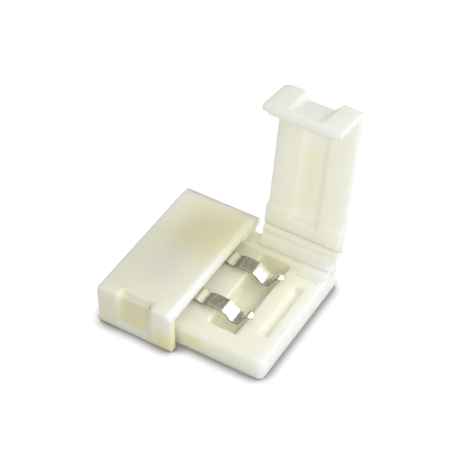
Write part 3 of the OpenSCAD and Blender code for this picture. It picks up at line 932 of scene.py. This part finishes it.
class CONNECTOR_OT_contacts(bpy.types.Operator):
    """Makes the two spring contacts"""

    bl_idname = "connector.contacts"
    bl_label = "Contacts"

    def execute(self, context):
        s = context.scene.connector_contact
        material = tinned(context.scene.connector_tin)
        for node, side in (("front_contact", -1), ("rear_contact", 1)):
            shell, sheared = contact_strip(s, side * s.pitch / 2)
            piece = solid(node + "_strip", *shell)
            piece.data.attributes.new("side", "FLOAT", "POINT").data.foreach_set("value", sheared)
            piece.data.materials.append(material)
            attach(piece, "tray")
            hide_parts(node)
        return {"FINISHED"}


class CONNECTOR_OT_stage(bpy.types.Operator):
    """Makes the floor, the lamps, the even light and the camera"""

    bl_idname = "connector.stage"
    bl_label = "Stage"

    def execute(self, context):
        scene, s = context.scene, context.scene.connector_stage
        a, e = s.azimuth, s.elevation
        back = Vector((math.sin(a) * math.cos(e), -math.cos(a) * math.cos(e), math.sin(e)))
        lens = bpy.data.cameras.new("camera")
        lens.lens = s.lens
        lens.sensor_width = 36
        lens.clip_start = 0.005
        scene.camera = aimed(scene, "camera", lens, s.camera, -back)
        # Floor: plain to the lamps' light, and near white with a dark rim of shadow to the camera
        material, tree = bare_material("floor")
        diffuse = add(tree, "ShaderNodeBsdfDiffuse", (0, 0), Color=(0.8, 0.8, 0.8, 1))
        shadow = add(tree, "ShaderNodeBsdfDiffuse", (0, -200), Color=(0.3, 0.3, 0.3, 1))
        # The contact shadow is painted: the floor's glow darkens where the object stands close by.
        near = add(tree, "ShaderNodeAmbientOcclusion", (-600, -400), samples=16, Distance=0.0016)
        tone = colour_ramp(tree, (-300, -400), near.outputs["AO"], FLOOR_STOPS)
        glow = add(tree, "ShaderNodeEmission", (0, -400), Strength=s.floor_glow, links=(("Color", tone),))
        seen = add(tree, "ShaderNodeAddShader", (200, -200),
                   links=((0, shadow.outputs[0]), (1, glow.outputs[0])))
        mix = add(tree, "ShaderNodeMixShader", (400, 0),
                  links=((0, seen_ray(tree)), (1, diffuse.outputs[0]), (2, seen.outputs[0])))
        add(tree, "ShaderNodeOutputMaterial", (600, 0), links=((0, mix.outputs[0]),))
        h = FLOOR_HALF
        stage_face(scene, "floor", [(-h, -h, 0), (h, -h, 0), (h, h, 0), (-h, h, 0)], material)
        # Dark card that the flat metal mirrors
        material, tree = bare_material("card")
        dark = add(tree, "ShaderNodeEmission", (0, 0), Color=(1.0, 0.96, 0.75, 1), Strength=s.card)
        add(tree, "ShaderNodeOutputMaterial", (200, 0), links=((0, dark.outputs[0]),))
        x0, x1, y, top = -0.3, s.card_edge, 0.1, 0.3
        card = stage_face(scene, "card", [(x0, y, 0), (x1, y, 0), (x1, y, top), (x0, y, top)], material)
        card.visible_camera = card.visible_diffuse = card.visible_shadow = card.visible_transmission = False
        # World
        world = bpy.data.worlds.new("studio")
        world.use_nodes = True
        scene.world = world
        tree = world.node_tree
        tree.nodes.clear()
        light = add(tree, "ShaderNodeBackground", (0, 0), Color=(1, 1, 1, 1), Strength=s.sky)
        white = add(tree, "ShaderNodeBackground", (0, -200), Color=(1, 1, 1, 1), Strength=1.0)
        mix = add(tree, "ShaderNodeMixShader", (400, 0),
                  links=((0, seen_ray(tree)), (1, light.outputs[0]), (2, white.outputs[0])))
        add(tree, "ShaderNodeOutputWorld", (600, 0), links=((0, mix.outputs[0]),))
        # Lamps
        for name, place, size in LAMPS:
            lamp = bpy.data.lights.new(name, "AREA")
            lamp.shape = "DISK"
            lamp.size = size
            lamp.energy = getattr(s, name)
            made = aimed(scene, name, lamp, place, LAMP_TARGET - Vector(place))
            if name == "glint":
                made.visible_diffuse = made.visible_transmission = False
                lamp.use_shadow = False
        return {"FINISHED"}


class CONNECTOR_PT_panel(bpy.types.Panel):
    """Sizes, colours and steps of the connector"""

    bl_idname = "CONNECTOR_PT_panel"
    bl_label = "Strip Connector"
    bl_space_type = "VIEW_3D"
    bl_region_type = "UI"
    bl_category = "Connector"

    def draw(self, context):
        for name, group in GROUPS.items():
            box = self.layout.box()
            box.label(text=group.__doc__)
            for key in group.__annotations__:
                box.prop(getattr(context.scene, name), key)
        for step in STEPS:
            self.layout.operator(step.bl_idname)


STEPS = (CONNECTOR_OT_stage, CONNECTOR_OT_tray, CONNECTOR_OT_lids, CONNECTOR_OT_contacts)
GROUPS = {
    "connector_tray": TraySettings,
    "connector_lid": LidSettings,
    "connector_contact": ContactSettings,
    "connector_nylon": NylonSettings,
    "connector_tin": TinSettings,
    "connector_stage": StageSettings,
}
CLASSES = (*GROUPS.values(), *STEPS, CONNECTOR_PT_panel)


def register():
    """Registers the classes and gives each scene its settings."""
    for cls in CLASSES:
        bpy.utils.register_class(cls)
    for name, cls in GROUPS.items():
        setattr(bpy.types.Scene, name, PointerProperty(type=cls))


def unregister():
    """Takes back what register() did."""
    for name in GROUPS:
        delattr(bpy.types.Scene, name)
    for cls in reversed(CLASSES):
        bpy.utils.unregister_class(cls)


def main():
    """Makes the stage and all pieces."""
    register()
    bpy.context.scene.view_settings.view_transform = "Standard"
    bpy.ops.connector.stage()
    bpy.ops.connector.tray()
    bpy.ops.connector.lids()
    bpy.ops.connector.contacts()
    bpy.context.view_layer.update()


if __name__ == "__main__":
    main()
